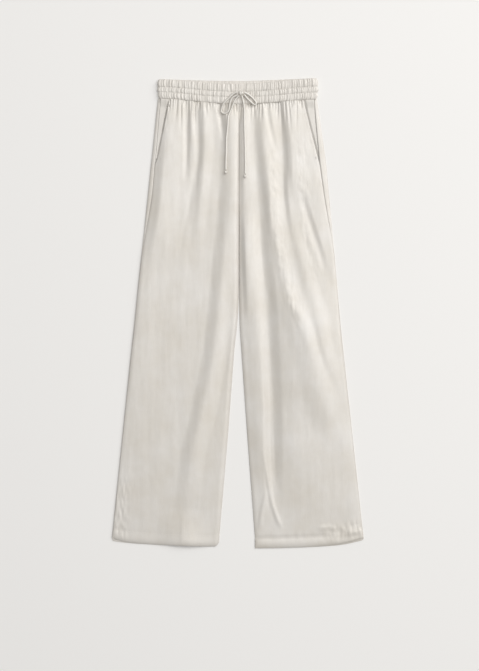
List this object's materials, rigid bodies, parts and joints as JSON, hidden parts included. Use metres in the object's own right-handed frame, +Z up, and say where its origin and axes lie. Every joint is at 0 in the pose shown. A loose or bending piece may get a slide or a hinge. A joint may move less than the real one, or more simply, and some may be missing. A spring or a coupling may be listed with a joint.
{
  "type": "straight satin trousers laid flat",
  "caption": "Straight wide-legged satin trousers with a gathered elastic waistband, a drawstring tied in a bow and slanted side pockets, laid flat with the front up.",
  "frame": {"origin": "middle of the laid-out outline, on the surface it lies on", "axes": "+Y from the hems to the waist, +Z up from the surface, out of the front, +X to the right as seen from above"},
  "size_m": [0.57, 1.066, 0.0171],
  "materials": {
    "satin": "pale silver-beige satin with a soft sheen",
    "facing": "the same satin, seen inside the pocket openings",
    "waistband": "the same satin, gathered on elastic",
    "drawstring": "narrow tube of the same satin"
  },
  "bodies": {
    "root": {"back_leg_left": "satin", "front_leg_left": "satin", "pocket_facing_left": "facing", "back_leg_right": "satin", "front_leg_right": "satin", "pocket_facing_right": "facing", "waistband": "waistband", "drawstring_knot": "drawstring", "drawstring_loop_left": "drawstring", "drawstring_tail_left": "drawstring", "drawstring_loop_right": "drawstring", "drawstring_tail_right": "drawstring", "drawstring_end_left": "drawstring", "drawstring_end_right": "drawstring"}
  },
  "joints": []
}
